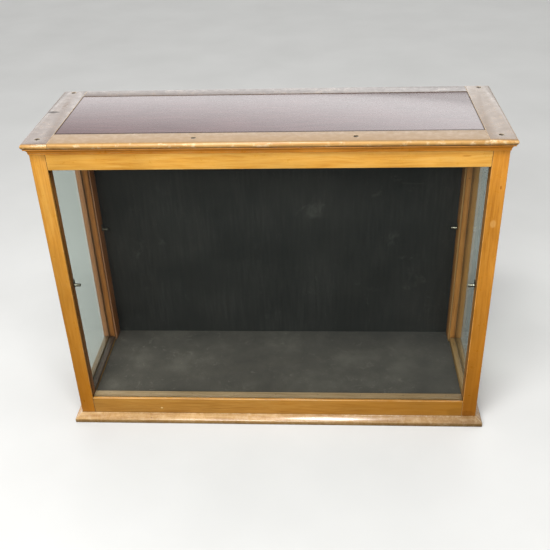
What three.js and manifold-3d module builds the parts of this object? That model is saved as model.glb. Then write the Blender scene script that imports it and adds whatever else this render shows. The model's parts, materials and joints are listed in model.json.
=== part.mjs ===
// A display case: a glazed pine carcase on a plinth, with a screwed-on top, a black-lined floor and
// a black board door at the back. Millimetres. Z is up, the front faces -Y, and the origin is on the
// ground at the centre of the body.
import * as THREE from "three";
import { mergeVertices } from "three/addons/utils/BufferGeometryUtils.js";
import Module from "manifold-3d";

const wasm = await Module();
wasm.setup();

// Body, over the outer faces of the posts.
const HALF_WIDTH = 450;
const HALF_DEPTH = 145;
const FRAME_TOP = 672.7;
const POST = 31;
const ARRIS = 0.8;
const GAP = 0.3;
const INNER_X = HALF_WIDTH - POST;
const INNER_Y = HALF_DEPTH - POST;
// The back posts are deeper than they are wide: this is where their front faces stand.
const BACK_POST_Y = 95;

// Rails: a lip outside the glass, then the rebate that holds the glass and its bead.
const RAIL = 28;
const FRONT_LIP = 6;
const SIDE_LIP = 12;
const LOWER_RAIL_BOTTOM = 6;
const LOWER_RAIL_TOP = 61;
const UPPER_RAIL_BOTTOM = 627;
const REBATE = 6;
const GLASS = 3;
const GLASS_SLOT = GLASS + 2 * GAP;
const GLASS_BOTTOM = LOWER_RAIL_TOP - REBATE + GAP;
const GLASS_TOP = UPPER_RAIL_BOTTOM + REBATE - GAP;

// Floor: a board in a groove, with a lining board over it.
const BOARD_BOTTOM = 36;
const BOARD_TOP = 46;
const LINING_TOP = 50;
const GROOVE = 6;

// Back door and the rebate that it closes into.
const DOOR_THICK = 9;
const DOOR_REBATE = 10;
const DOOR_STEP = HALF_DEPTH - DOOR_THICK - GAP;
const DOOR_GAP = 0.6;
const DOOR_SILL = 38;
const DOOR_HEAD = 637;

// Hinges on the left post and the turn-button on the right post.
const HINGE_X = -428.7;
const HINGE_Y = 147.9;
const HINGE_HEIGHTS = { lower: 130, upper: 545 };
const LEAF_TALL = 50;
const LEAF_REACH = 20.3;
const LEAF_THICK = 1.5;
const BARREL_R = 2.6;
const PIN_R = 1.2;
const KNUCKLE = 16;
const BUTTON_X = 439.5;
const BUTTON_Z = 340;
const BUTTON_HALF = 6;
const BUTTON_LONG = 30;
const BUTTON_SHORT = 8;
const BUTTON_THICK = 4;
const KNOB_X = 385;
const KNOB_LONG = 14.2;

// Mouldings.
const PLINTH_OUT = 14.5;
const PLINTH_EDGE = 10;
const PLINTH_TOP = 19.6;
const COVE_OUT = 8;
const COVE_BOTTOM = 660;
const MITRE_GAP = 0.2;

// Top: two end stiles, a front and a back board between them, and a panel.
const TOP_BOTTOM = 673;
const TOP_THICK = 12;
const TOP_HALF_WIDTH = 461;
const TOP_FRONT = -156;
const TOP_BACK = 148;
const STILE_INNER = 408.6;
const PANEL_FRONT = -105;
const PANEL_BACK = 112.7;
const SEAM = 0.2;
const PANEL_DROP = 0.5;
const TOP_SCREWS = {
  front_left: [-433, -130.5],
  front_mid_left: [-135, -130.5],
  front_mid_right: [168, -130.5],
  front_right: [433, -130.5],
  back_left: [-436, 138],
  back_right: [436, 138],
};
const SCREW_HEAD_R = 4.6;
const SCREW_R = 1.9;
const SCREW_SUNK = 0.7;
const SCREW_TIP = 648;

// Shelf pegs.
const PEG_Z = 355;
const PEG_FRONT_Y = -125;
const PEG_BACK_Y = 124.5;
const PEG_PLUG_R = 2;
const PEG_HOLE_DEPTH = 9;

function finish(color, roughness, metalness) {
  return new THREE.MeshStandardMaterial({ color, roughness, metalness });
}

const pine = () => finish(0xc8862f, 0.38, 0);
const palePine = () => finish(0xd0b08c, 0.42, 0);
const panelWood = () => finish(0x9c8a84, 0.35, 0);
const clearGlass = () => finish(0xdfe8e4, 0.05, 0);
const beadWood = () => finish(0x6b4f2c, 0.5, 0);
const boardWood = () => finish(0x8a6b45, 0.7, 0);
const darkLining = () => finish(0x4c4741, 0.8, 0);
const blackPaint = () => finish(0x2a2a2a, 0.85, 0);
const brass = () => finish(0xb08d4c, 0.35, 1);
const steel = () => finish(0x5a5148, 0.5, 1);

function shapeOf(points) {
  return new THREE.Shape(points.map(([u, v]) => new THREE.Vector2(u, v)));
}

function arc(cu, cv, ru, rv, from, to, steps) {
  const points = [];
  for (let i = 0; i <= steps; i++) {
    const a = THREE.MathUtils.degToRad(from + ((to - from) * i) / steps);
    points.push([cu + ru * Math.cos(a), cv + rv * Math.sin(a)]);
  }
  return points;
}

// A straight piece of one section. Along x the section is (y, z), along y it is (x, z), and along z
// it is (x, y).
function bar(name, axis, section, from, to, material) {
  const settings = { depth: to - from, bevelEnabled: false };
  const mesh = new THREE.Mesh(new THREE.ExtrudeGeometry(shapeOf(section), settings), material);
  mesh.name = name;
  if (axis === "x") {
    mesh.rotation.set(Math.PI / 2, Math.PI / 2, 0);
    mesh.position.x = from;
  }
  if (axis === "y") {
    mesh.rotation.set(Math.PI / 2, 0, 0);
    mesh.position.y = to;
  }
  if (axis === "z") mesh.position.z = from;
  return mesh;
}

function rectangle(u0, v0, u1, v1) {
  return [
    [u0, v0],
    [u1, v0],
    [u1, v1],
    [u0, v1],
  ];
}

function mirrored(side, points) {
  return points.map(([u, v]) => [side * u, v]);
}

// A turned piece about the vertical axis through (x, y), from (radius, z) pairs.
function turned(name, profile, x, y, material, sides = 24) {
  const points = profile.map(([r, z]) => new THREE.Vector2(r, z));
  const mesh = new THREE.Mesh(new THREE.LatheGeometry(points, sides), material);
  mesh.name = name;
  mesh.rotation.x = Math.PI / 2;
  mesh.position.set(x, y, 0);
  return mesh;
}

function solidOf(mesh) {
  mesh.updateMatrix();
  const placed = mesh.geometry.clone().applyMatrix4(mesh.matrix);
  placed.deleteAttribute("normal");
  placed.deleteAttribute("uv");
  const merged = mergeVertices(placed, 1e-4);
  const vertProperties = new Float32Array(merged.attributes.position.array);
  const triVerts = new Uint32Array(merged.index.array);
  return new wasm.Manifold(new wasm.Mesh({ numProp: 3, vertProperties, triVerts }));
}

function meshOf(name, solid, material) {
  const made = solid.getMesh();
  const geometry = new THREE.BufferGeometry();
  geometry.setAttribute("position", new THREE.BufferAttribute(made.vertProperties, 3));
  geometry.setIndex(new THREE.BufferAttribute(made.triVerts, 1));
  geometry.computeVertexNormals();
  const mesh = new THREE.Mesh(geometry, material);
  mesh.name = name;
  return mesh;
}

function cut(mesh, tools) {
  let solid = solidOf(mesh);
  for (const tool of tools) solid = solid.subtract(solidOf(tool));
  return meshOf(mesh.name, solid, mesh.material);
}

function join(name, meshes, material) {
  let solid = solidOf(meshes[0]);
  for (const mesh of meshes.slice(1)) solid = solid.add(solidOf(mesh));
  return meshOf(name, solid, material);
}

// A round tool or pin along x.
function rodX(name, radius, x0, x1, y, z, material, sides = 20) {
  return bar(name, "x", arc(y, z, radius, radius, 0, 360 - 360 / sides, sides - 1), x0, x1, material);
}

function rodZ(name, radius, x, y, z0, z1, material, sides = 20) {
  return bar(name, "z", arc(x, y, radius, radius, 0, 360 - 360 / sides, sides - 1), z0, z1, material);
}

// The screw's clearance hole, opening out to its countersink at the upper face of the top.
function screwHole(x, y) {
  const surface = TOP_BOTTOM + TOP_THICK;
  const profile = [
    [0, SCREW_TIP - 1],
    [SCREW_R + GAP, SCREW_TIP - 1],
    [SCREW_R + GAP, surface - SCREW_SUNK - 3.2],
    [SCREW_HEAD_R + GAP, surface - SCREW_SUNK - 0.5],
    [SCREW_HEAD_R + GAP, surface + 1],
    [0, surface + 1],
  ];
  return turned("", profile, x, y, null);
}

function holesOver(x0, y0, x1, y1) {
  const inside = Object.values(TOP_SCREWS).filter(([x, y]) => x > x0 && x < x1 && y > y0 && y < y1);
  return inside.map(([x, y]) => screwHole(x, y));
}

// Post outlines, for the left pair: pockets for the glass and beads, and at the back the door rebate.
const frontPostOutline = [
  [-HALF_WIDTH, -HALF_DEPTH + ARRIS],
  [-HALF_WIDTH + ARRIS, -HALF_DEPTH],
  [-INNER_X - ARRIS, -HALF_DEPTH],
  [-INNER_X, -HALF_DEPTH + ARRIS],
  [-INNER_X, -HALF_DEPTH + FRONT_LIP],
  [-INNER_X - REBATE, -HALF_DEPTH + FRONT_LIP],
  [-INNER_X - REBATE, -INNER_Y - REBATE],
  [-HALF_WIDTH + SIDE_LIP, -INNER_Y - REBATE],
  [-HALF_WIDTH + SIDE_LIP, -INNER_Y],
  [-HALF_WIDTH, -INNER_Y],
];
const backPostOutline = [
  [-HALF_WIDTH, BACK_POST_Y],
  [-HALF_WIDTH + SIDE_LIP, BACK_POST_Y],
  [-HALF_WIDTH + SIDE_LIP, BACK_POST_Y + REBATE],
  [-INNER_X, BACK_POST_Y + REBATE],
  [-INNER_X, DOOR_STEP],
  [-INNER_X - DOOR_REBATE, DOOR_STEP],
  [-INNER_X - DOOR_REBATE, HALF_DEPTH],
  [-HALF_WIDTH + ARRIS, HALF_DEPTH],
  [-HALF_WIDTH, HALF_DEPTH - ARRIS],
];

function posts() {
  const made = [];
  for (const [word, side] of [["left", -1], ["right", 1]]) {
    const x0 = side < 0 ? -HALF_WIDTH : INNER_X;
    const x1 = side < 0 ? -INNER_X : HALF_WIDTH;
    const outer = -side;
    const front = bar("post_front_" + word, "z", mirrored(outer, frontPostOutline), 0, FRAME_TOP, pine());
    const back = bar("post_back_" + word, "z", mirrored(outer, backPostOutline), 0, FRAME_TOP, pine());
    const reach = side * (INNER_X + PEG_HOLE_DEPTH);
    const mouth = side * (INNER_X - 1);
    const low = Math.min(reach, mouth);
    const high = Math.max(reach, mouth);
    const pegFront = rodX("", PEG_PLUG_R + GAP, low, high, PEG_FRONT_Y, PEG_Z, null);
    const pegBack = rodX("", PEG_PLUG_R + GAP, low, high, PEG_BACK_Y, PEG_Z, null);
    made.push(cut(front, [pegFront, ...holesOver(x0, -HALF_DEPTH, x1, 0)]));
    const backTools = [pegBack, ...holesOver(x0, 0, x1, HALF_DEPTH)];
    if (side > 0) backTools.push(pivotHole());
    made.push(cut(back, backTools));
  }
  return made;
}

// Half of the rail's section nearest its outer face, as (distance inwards, z).
function lowerRailSection(lip) {
  return [
    [0, LOWER_RAIL_BOTTOM],
    [RAIL, LOWER_RAIL_BOTTOM],
    [RAIL, BOARD_BOTTOM - GAP],
    [RAIL - GROOVE, BOARD_BOTTOM - GAP],
    [RAIL - GROOVE, BOARD_TOP + GAP],
    [RAIL, BOARD_TOP + GAP],
    [RAIL, LOWER_RAIL_TOP - REBATE],
    [lip, LOWER_RAIL_TOP - REBATE],
    [lip, LOWER_RAIL_TOP],
    [ARRIS, LOWER_RAIL_TOP],
    [0, LOWER_RAIL_TOP - ARRIS],
  ];
}

function upperRailSection(lip) {
  return [
    [0, UPPER_RAIL_BOTTOM + ARRIS],
    [ARRIS, UPPER_RAIL_BOTTOM],
    [lip, UPPER_RAIL_BOTTOM],
    [lip, UPPER_RAIL_BOTTOM + REBATE],
    [RAIL, UPPER_RAIL_BOTTOM + REBATE],
    [RAIL, FRAME_TOP],
    [0, FRAME_TOP],
  ];
}

// Moves a section given from the outer face inwards to its place: on the front, left or right.
function fromFront(section) {
  return section.map(([d, z]) => [-HALF_DEPTH + d, z]);
}

function fromSide(side, section) {
  return section.map(([d, z]) => [side * (HALF_WIDTH - d), z]);
}

function rails() {
  const x = INNER_X - GAP;
  const front = -INNER_Y + GAP;
  const back = BACK_POST_Y - GAP;
  const lowerBack = [
    [INNER_Y, LOWER_RAIL_BOTTOM],
    [HALF_DEPTH, LOWER_RAIL_BOTTOM],
    [HALF_DEPTH, DOOR_SILL],
    [DOOR_STEP, DOOR_SILL],
    [DOOR_STEP, BOARD_TOP],
    [INNER_Y + GROOVE, BOARD_TOP],
    [INNER_Y + GROOVE, BOARD_BOTTOM - GAP],
    [INNER_Y, BOARD_BOTTOM - GAP],
  ];
  const upperBack = [
    [INNER_Y, UPPER_RAIL_BOTTOM],
    [DOOR_STEP, UPPER_RAIL_BOTTOM],
    [DOOR_STEP, DOOR_HEAD],
    [HALF_DEPTH, DOOR_HEAD],
    [HALF_DEPTH, FRAME_TOP],
    [INNER_Y, FRAME_TOP],
  ];
  const lower = lowerRailSection(SIDE_LIP);
  const upper = upperRailSection(SIDE_LIP);
  const upperFront = bar("upper_rail_front", "x", fromFront(upperRailSection(FRONT_LIP)), -x, x, pine());
  return [
    bar("lower_rail_front", "x", fromFront(lowerRailSection(FRONT_LIP)), -x, x, pine()),
    bar("lower_rail_back", "x", lowerBack, -x, x, pine()),
    bar("lower_rail_left", "y", fromSide(-1, lower), front, back, pine()),
    bar("lower_rail_right", "y", fromSide(1, lower), front, back, pine()),
    cut(upperFront, holesOver(-x, -HALF_DEPTH, x, 0)),
    bar("upper_rail_back", "x", upperBack, -x, x, pine()),
    bar("upper_rail_left", "y", fromSide(-1, upper), front, back, pine()),
    bar("upper_rail_right", "y", fromSide(1, upper), front, back, pine()),
  ];
}

// A board that fits round the posts: its half width, its front and back, and the posts' inner corners.
function notchedOutline(x, front, back, postX, frontPostY, backPostY) {
  return [
    [-x, frontPostY],
    [-postX, frontPostY],
    [-postX, front],
    [postX, front],
    [postX, frontPostY],
    [x, frontPostY],
    [x, backPostY],
    [postX, backPostY],
    [postX, back],
    [-postX, back],
    [-postX, backPostY],
    [-x, backPostY],
  ];
}

function floors() {
  const railX = HALF_WIDTH - RAIL;
  const railY = HALF_DEPTH - RAIL;
  const corners = [INNER_X - GAP, -INNER_Y + GAP, BACK_POST_Y - GAP];
  const boardFront = -railY - GROOVE + GAP;
  const board = notchedOutline(railX + GROOVE - GAP, boardFront, INNER_Y + GROOVE - GAP, ...corners);
  const lining = notchedOutline(railX - GAP, -railY + GAP, DOOR_STEP, ...corners);
  return [
    bar("base_board", "z", board, BOARD_BOTTOM, BOARD_TOP, boardWood()),
    bar("floor_lining", "z", lining, BOARD_TOP + GAP, LINING_TOP, darkLining()),
  ];
}

function glasses() {
  const sheet = (lip) => rectangle(lip + GAP, GLASS_BOTTOM, lip + GAP + GLASS, GLASS_TOP);
  const x = INNER_X + REBATE - GAP;
  const front = -INNER_Y - REBATE + GAP;
  const back = BACK_POST_Y + REBATE - GAP;
  return [
    bar("glass_front", "x", fromFront(sheet(FRONT_LIP)), -x, x, clearGlass()),
    bar("glass_left", "y", fromSide(-1, sheet(SIDE_LIP)), front, back, clearGlass()),
    bar("glass_right", "y", fromSide(1, sheet(SIDE_LIP)), front, back, clearGlass()),
  ];
}

// Beads pinned inside the glass. Across the rails they are as deep as the rebate left by the glass,
// and their inner arris is taken off.
function horizontalBeadSection(z0, z1, up, lip) {
  const near = lip + GLASS_SLOT;
  const soft = 1.5;
  const far = RAIL;
  if (up) {
    return [[near, z0], [far, z0], [far, z1 - soft], [far - soft, z1], [near, z1]];
  }
  return [[near, z0], [far - soft, z0], [far, z0 + soft], [far, z1], [near, z1]];
}

function beads() {
  const made = [];
  const bottom = (lip) => horizontalBeadSection(GLASS_BOTTOM, LOWER_RAIL_TOP, true, lip);
  const top = (lip) => horizontalBeadSection(UPPER_RAIL_BOTTOM, GLASS_TOP, false, lip);
  const x = INNER_X - GAP;
  const y0 = -INNER_Y + GAP;
  const y1 = BACK_POST_Y - GAP;
  made.push(bar("bead_front_bottom", "x", fromFront(bottom(FRONT_LIP)), -x, x, beadWood()));
  made.push(bar("bead_front_top", "x", fromFront(top(FRONT_LIP)), -x, x, beadWood()));
  for (const [word, side] of [["left", -1], ["right", 1]]) {
    made.push(bar("bead_" + word + "_bottom", "y", fromSide(side, bottom(SIDE_LIP)), y0, y1, beadWood()));
    made.push(bar("bead_" + word + "_top", "y", fromSide(side, top(SIDE_LIP)), y0, y1, beadWood()));
    made.push(frontStandingBead(word, side));
    made.push(sideStandingBead(word + "_front", side, -INNER_Y, -1));
    made.push(sideStandingBead(word + "_back", side, BACK_POST_Y, 1));
  }
  return made;
}

// An upright bead beside a side glass, let into the post whose face is at postY.
function sideStandingBead(place, side, postY, into) {
  const near = side * (HALF_WIDTH - SIDE_LIP - GLASS_SLOT);
  const far = side * (HALF_WIDTH - RAIL);
  const face = postY + into * GAP;
  const deep = postY + into * (REBATE - GAP);
  const outline = [[near, deep], [far, deep], [far, face + into * 1.5], [far + side * 1.5, face], [near, face]];
  return bar("bead_" + place, "z", outline, GLASS_BOTTOM, GLASS_TOP, beadWood());
}

// The upright bead beside the front glass, bored for the shelf peg.
function frontStandingBead(word, side) {
  const near = side * (INNER_X + REBATE - GAP);
  const far = side * (INNER_X + GAP);
  const glassSide = -HALF_DEPTH + FRONT_LIP + GLASS_SLOT;
  const inside = -INNER_Y - REBATE - GAP;
  const outline = rectangle(near, glassSide, far, inside);
  const stick = bar("bead_front_" + word, "z", outline, GLASS_BOTTOM, GLASS_TOP, beadWood());
  const low = Math.min(near, far) - 1;
  const high = Math.max(near, far) + 1;
  return cut(stick, [rodX("", PEG_PLUG_R + GAP, low, high, PEG_FRONT_Y, PEG_Z, null)]);
}

// A shelf peg: a plug in its hole, an upright plate against the wood, and the pin that a shelf rests on.
function pegs() {
  const made = [];
  for (const [word, side] of [["left", -1], ["right", 1]]) {
    for (const [place, y] of [["front", PEG_FRONT_Y], ["back", PEG_BACK_Y]]) {
      const face = side * (INNER_X - 2 * GAP);
      const plugEnd = side * (INNER_X + PEG_HOLE_DEPTH - 1);
      const plateIn = face - side * 1.2;
      const pinEnd = face - side * 13.4;
      const neck = face - side * 12.4;
      const span = (a, b) => [Math.min(a, b), Math.max(a, b)];
      const plug = rodX("", PEG_PLUG_R, ...span(face - side * 0.5, plugEnd), y, PEG_Z, null);
      const plate = bar("", "x", plateOutline(y), ...span(plateIn, face), null);
      const pin = rodX("", 3.3, ...span(plateIn + side * 0.5, neck), y, PEG_Z, null);
      const tip = rodX("", 2.7, ...span(neck + side * 0.5, pinEnd), y, PEG_Z, null);
      made.push(join("shelf_peg_" + place + "_" + word, [plug, plate, pin, tip], brass()));
    }
  }
  return made;
}

function plateOutline(y) {
  const low = arc(y, PEG_Z - 1, 4, 4, 180, 360, 8);
  return [...low, [y + 4, PEG_Z + 12], [y + 3, PEG_Z + 13], [y - 3, PEG_Z + 13], [y - 4, PEG_Z + 12]];
}

function plinthSection() {
  return [
    [GAP, 0],
    [PLINTH_OUT, 0],
    [PLINTH_OUT, PLINTH_EDGE - 1],
    [PLINTH_OUT - 1, PLINTH_EDGE + 0.8],
    [GAP, PLINTH_TOP],
  ];
}

function coveSection() {
  const hollow = arc(COVE_OUT, COVE_BOTTOM + 0.6, COVE_OUT - 1.3, 10.4, 180, 90, 8);
  return [[GAP, COVE_BOTTOM], [1.3, COVE_BOTTOM], ...hollow, [COVE_OUT, FRAME_TOP], [GAP, FRAME_TOP]];
}

// A moulding round the front and sides, from its section as (projection, z). The ends that meet at
// the front corners are mitred by sliding their vertices along by their own projection.
function moulding(name, section, material) {
  const front = bar(name + "_front", "x", section.map(([p, z]) => [-HALF_DEPTH - p, z]), 0, 1, material());
  const frontVertices = front.geometry.attributes.position;
  for (let i = 0; i < frontVertices.count; i++) {
    const out = -frontVertices.getX(i) - HALF_DEPTH;
    const end = HALF_WIDTH - MITRE_GAP + out;
    frontVertices.setZ(i, frontVertices.getZ(i) > 0.5 ? end : -end);
  }
  const made = [front];
  for (const [word, side] of [["left", -1], ["right", 1]]) {
    const placed = section.map(([p, z]) => [side * (HALF_WIDTH + p), z]);
    const piece = bar(name + "_" + word, "y", placed, 0, 1, material());
    const vertices = piece.geometry.attributes.position;
    piece.position.y = HALF_DEPTH;
    for (let i = 0; i < vertices.count; i++) {
      const out = Math.abs(vertices.getX(i)) - HALF_WIDTH;
      const length = 2 * HALF_DEPTH - MITRE_GAP + out;
      vertices.setZ(i, vertices.getZ(i) > 0.5 ? length : 0);
    }
    made.push(piece);
  }
  return made;
}

// Half-round nosing on the outer edge of the top, as (u, z) with the edge at u = -reach.
function nosedSection(edge, inner) {
  const r = TOP_THICK / 2;
  const side = Math.sign(inner - edge);
  const round = arc(edge + side * r, TOP_BOTTOM + r, side * r, r, 270, 90, 12);
  return [...round, [inner, TOP_BOTTOM + TOP_THICK], [inner, TOP_BOTTOM]];
}

function top() {
  const made = [];
  const boardX = STILE_INNER - SEAM;
  const frontBoard = bar(
    "top_board_front", "x", nosedSection(TOP_FRONT, PANEL_FRONT - SEAM), -boardX, boardX, palePine(),
  );
  made.push(cut(frontBoard, holesOver(-boardX, TOP_FRONT, boardX, 0)));
  const upper = TOP_BOTTOM + TOP_THICK;
  const backSection = rectangle(PANEL_BACK + SEAM, TOP_BOTTOM, TOP_BACK, upper);
  made.push(bar("top_board_back", "x", backSection, -boardX, boardX, palePine()));
  const panelSection = rectangle(
    PANEL_FRONT + SEAM, TOP_BOTTOM + PANEL_DROP, PANEL_BACK - SEAM, upper - PANEL_DROP,
  );
  made.push(bar("top_panel", "x", panelSection, -boardX, boardX, panelWood()));
  for (const [word, side] of [["left", -1], ["right", 1]]) {
    const inner = side * (STILE_INNER + SEAM);
    const outer = side * TOP_HALF_WIDTH;
    const across = nosedSection(outer, inner);
    const along = nosedSection(TOP_FRONT, TOP_BACK + 5);
    const low = Math.min(inner, outer) - 1;
    const high = Math.max(inner, outer) + 1;
    const long = solidOf(bar("", "y", across, TOP_FRONT - 1, TOP_BACK, null));
    const nosed = long.intersect(solidOf(bar("", "x", along, low, high, null)));
    const stile = meshOf("top_stile_" + word, nosed, palePine());
    made.push(cut(stile, holesOver(low, TOP_FRONT, high, TOP_BACK)));
  }
  return made;
}

function topScrews() {
  const surface = TOP_BOTTOM + TOP_THICK - SCREW_SUNK;
  const profile = [
    [0, SCREW_TIP],
    [0.5, SCREW_TIP],
    [SCREW_R, SCREW_TIP + 5],
    [SCREW_R, surface - 3.2],
    [SCREW_HEAD_R, surface - 0.5],
    [SCREW_HEAD_R, surface],
    [0, surface],
  ];
  return Object.entries(TOP_SCREWS).map(([place, [x, y]]) => {
    const screw = turned("top_screw_" + place, profile, x, y, steel());
    const turn = THREE.MathUtils.degToRad((x * 7 + y * 3) % 180);
    const slot = new THREE.Mesh(new THREE.BoxGeometry(12, 1, 2), null);
    slot.position.set(x, y, surface);
    slot.rotation.z = turn;
    return cut(screw, [slot]);
  });
}

// One butt hinge: the leaf on the post carries the two outer knuckles and the door's leaf the middle
// one. Drawn about the hinge axis, with side -1 for the post and 1 for the door.
function leaf(name, side, z, knuckles) {
  const plate = rectangle(side * 3, -BARREL_R, side * LEAF_REACH, -BARREL_R + LEAF_THICK);
  const pieces = [bar("", "z", plate, z - LEAF_TALL / 2, z + LEAF_TALL / 2, null)];
  for (const [from, to] of knuckles) {
    const web = rectangle(0, -BARREL_R, side * 3.2, -BARREL_R + LEAF_THICK);
    pieces.push(rodZ("", BARREL_R, 0, 0, z + from, z + to, null));
    pieces.push(bar("", "z", web, z + from, z + to, null));
  }
  const whole = join(name, pieces, brass());
  const bore = rodZ("", PIN_R + GAP / 2, 0, 0, z - LEAF_TALL, z + LEAF_TALL, null);
  return cut(whole, [bore]);
}

function hingeOnPost(place, z) {
  const end = LEAF_TALL / 2;
  const group = new THREE.Group();
  group.position.set(HINGE_X, HINGE_Y, 0);
  const outer = [[-end, -end + KNUCKLE], [end - KNUCKLE, end]];
  group.add(leaf("hinge_" + place + "_post_leaf", -1, z, outer));
  group.add(rodZ("hinge_" + place + "_pin", PIN_R, 0, 0, z - end - 0.5, z + end + 0.5, brass()));
  return group;
}

// The shank of the turn-button's screw, and the hole that it fits in the post.
function pivotHole() {
  const hole = arc(BUTTON_X, BUTTON_Z, SCREW_R + GAP, SCREW_R + GAP, 0, 342, 19);
  return bar("", "y", hole, HALF_DEPTH - 16, HALF_DEPTH + 1, null);
}

function pivotScrew() {
  const face = HALF_DEPTH + 0.5 + BUTTON_THICK + GAP;
  const shank = arc(BUTTON_X, BUTTON_Z, SCREW_R, SCREW_R, 0, 342, 19);
  const head = arc(BUTTON_X, BUTTON_Z, 4, 4, 0, 345, 23);
  const body = join(
    "turn_button_screw",
    [bar("", "y", shank, HALF_DEPTH - 15, face + 0.5, null), bar("", "y", head, face, face + 1.6, null)],
    steel(),
  );
  const slot = new THREE.Mesh(new THREE.BoxGeometry(12, 1.4, 1), null);
  slot.position.set(BUTTON_X, face + 1.6, BUTTON_Z);
  slot.rotation.y = 0.5;
  return cut(body, [slot]);
}

// The back door with its hinge leaves and knob, drawn about the hinge axis.
function backDoor() {
  const group = new THREE.Group();
  group.position.set(HINGE_X, HINGE_Y, 0);
  const edge = INNER_X + DOOR_REBATE - DOOR_GAP;
  const inner = HALF_DEPTH - DOOR_THICK - HINGE_Y;
  const outer = HALF_DEPTH - HINGE_Y;
  const board = rectangle(-edge - HINGE_X, inner, edge - HINGE_X, outer);
  group.add(bar("back_door", "z", board, DOOR_SILL + DOOR_GAP, DOOR_HEAD - DOOR_GAP, blackPaint()));
  const middle = LEAF_TALL / 2 - KNUCKLE - GAP;
  for (const [place, z] of Object.entries(HINGE_HEIGHTS)) {
    group.add(leaf("hinge_" + place + "_door_leaf", 1, z, [[-middle, middle]]));
  }
  const profile = [[0, 0], [6.5, 0], [6.5, 1.5], [3.5, 3.5], [3.5, 7], [7.5, 9.5], [8, 11.5], [6.5, KNOB_LONG - 0.6]];
  const knob = new THREE.Mesh(
    new THREE.LatheGeometry([...profile, [0, KNOB_LONG]].map(([r, y]) => new THREE.Vector2(r, y)), 28),
    brass(),
  );
  knob.name = "door_knob";
  knob.position.set(KNOB_X - HINGE_X, outer + GAP, BUTTON_Z);
  group.add(knob);
  return group;
}

// The turn-button, drawn about its pivot and hanging straight down, clear of the door.
function turnButton() {
  const group = new THREE.Group();
  group.position.set(BUTTON_X, 0, BUTTON_Z);
  const r = BUTTON_HALF;
  const outline = [
    ...arc(0, BUTTON_SHORT - r, r, r, 0, 180, 10),
    ...arc(0, -BUTTON_LONG + r, r, r, 180, 360, 10),
  ];
  const back = HALF_DEPTH + 0.5;
  const blank = bar("turn_button", "y", outline, back, back + BUTTON_THICK, brass());
  const hole = arc(0, 0, SCREW_R + GAP, SCREW_R + GAP, 0, 342, 19);
  group.add(cut(blank, [bar("", "y", hole, back - 1, back + BUTTON_THICK + 1, null)]));
  return group;
}

const carcase = new THREE.Group();
carcase.add(...posts(), ...rails(), ...floors(), ...glasses(), ...beads(), ...pegs());
carcase.add(...moulding("plinth", plinthSection(), palePine));
carcase.add(...moulding("cove", coveSection(), pine));
carcase.add(...top(), ...topScrews(), pivotScrew());
for (const [place, z] of Object.entries(HINGE_HEIGHTS)) carcase.add(hingeOnPost(place, z));

const displayCase = new THREE.Group();
displayCase.add(carcase, backDoor(), turnButton());

export default displayCase;
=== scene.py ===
import json
import math
import random

import bmesh
import bpy
from mathutils import Matrix, Vector


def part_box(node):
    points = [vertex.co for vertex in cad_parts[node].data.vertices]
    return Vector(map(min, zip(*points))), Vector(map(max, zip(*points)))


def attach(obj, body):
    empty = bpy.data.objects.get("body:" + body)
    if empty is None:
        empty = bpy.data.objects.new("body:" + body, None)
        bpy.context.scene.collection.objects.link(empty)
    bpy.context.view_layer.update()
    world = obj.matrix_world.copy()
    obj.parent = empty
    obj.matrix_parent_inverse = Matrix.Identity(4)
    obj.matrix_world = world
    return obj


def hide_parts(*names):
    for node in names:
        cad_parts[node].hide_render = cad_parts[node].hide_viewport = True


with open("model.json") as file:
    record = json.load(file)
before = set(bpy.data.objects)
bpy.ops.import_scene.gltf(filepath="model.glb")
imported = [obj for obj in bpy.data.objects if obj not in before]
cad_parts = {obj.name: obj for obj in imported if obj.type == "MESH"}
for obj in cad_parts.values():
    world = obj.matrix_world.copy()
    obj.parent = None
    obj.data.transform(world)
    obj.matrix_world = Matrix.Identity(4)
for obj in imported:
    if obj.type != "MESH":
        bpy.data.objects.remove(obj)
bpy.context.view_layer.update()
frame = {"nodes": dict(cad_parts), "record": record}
scene = bpy.context.scene
chance = random.Random(1904)

MM = 0.001

# ---------------------------------------------------------------- small tools


def linear(code):
    """An sRGB hex value as the linear colour that shaders use."""
    parts = [int(code[i:i + 2], 16) / 255 for i in (1, 3, 5)]
    return (*[p / 12.92 if p <= 0.04045 else ((p + 0.055) / 1.055) ** 2.4 for p in parts], 1.0)


def add(tree, kind, inputs=None, stops=None, **settings):
    """Adds one node. inputs gives a value or another node's output to each socket, by name or number."""
    node = tree.nodes.new(kind)
    for name, value in settings.items():
        setattr(node, name, value)
    for key, value in (inputs or {}).items():
        if isinstance(value, bpy.types.NodeSocket):
            tree.links.new(value, node.inputs[key])
        else:
            node.inputs[key].default_value = value
    if stops:
        elements = node.color_ramp.elements
        while len(elements) < len(stops):
            elements.new(0.5)
        for element, (place, colour) in zip(elements, stops):
            element.position = place
            element.color = linear(colour) if isinstance(colour, str) else (colour, colour, colour, 1)
    return node


def new_material(name):
    material = bpy.data.materials.new(name)
    material.use_nodes = True
    material.node_tree.nodes.clear()
    return material, material.node_tree


def finish_material(tree, shader):
    add(tree, "ShaderNodeOutputMaterial", {"Surface": shader})


# ---------------------------------------------------------------- timber

# Turns a piece so that its grain runs along the pattern's z.
GRAIN_TURN = {"x": (0, math.pi / 2, 0), "y": (math.pi / 2, 0, 0), "z": (0, 0, 0)}


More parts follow.
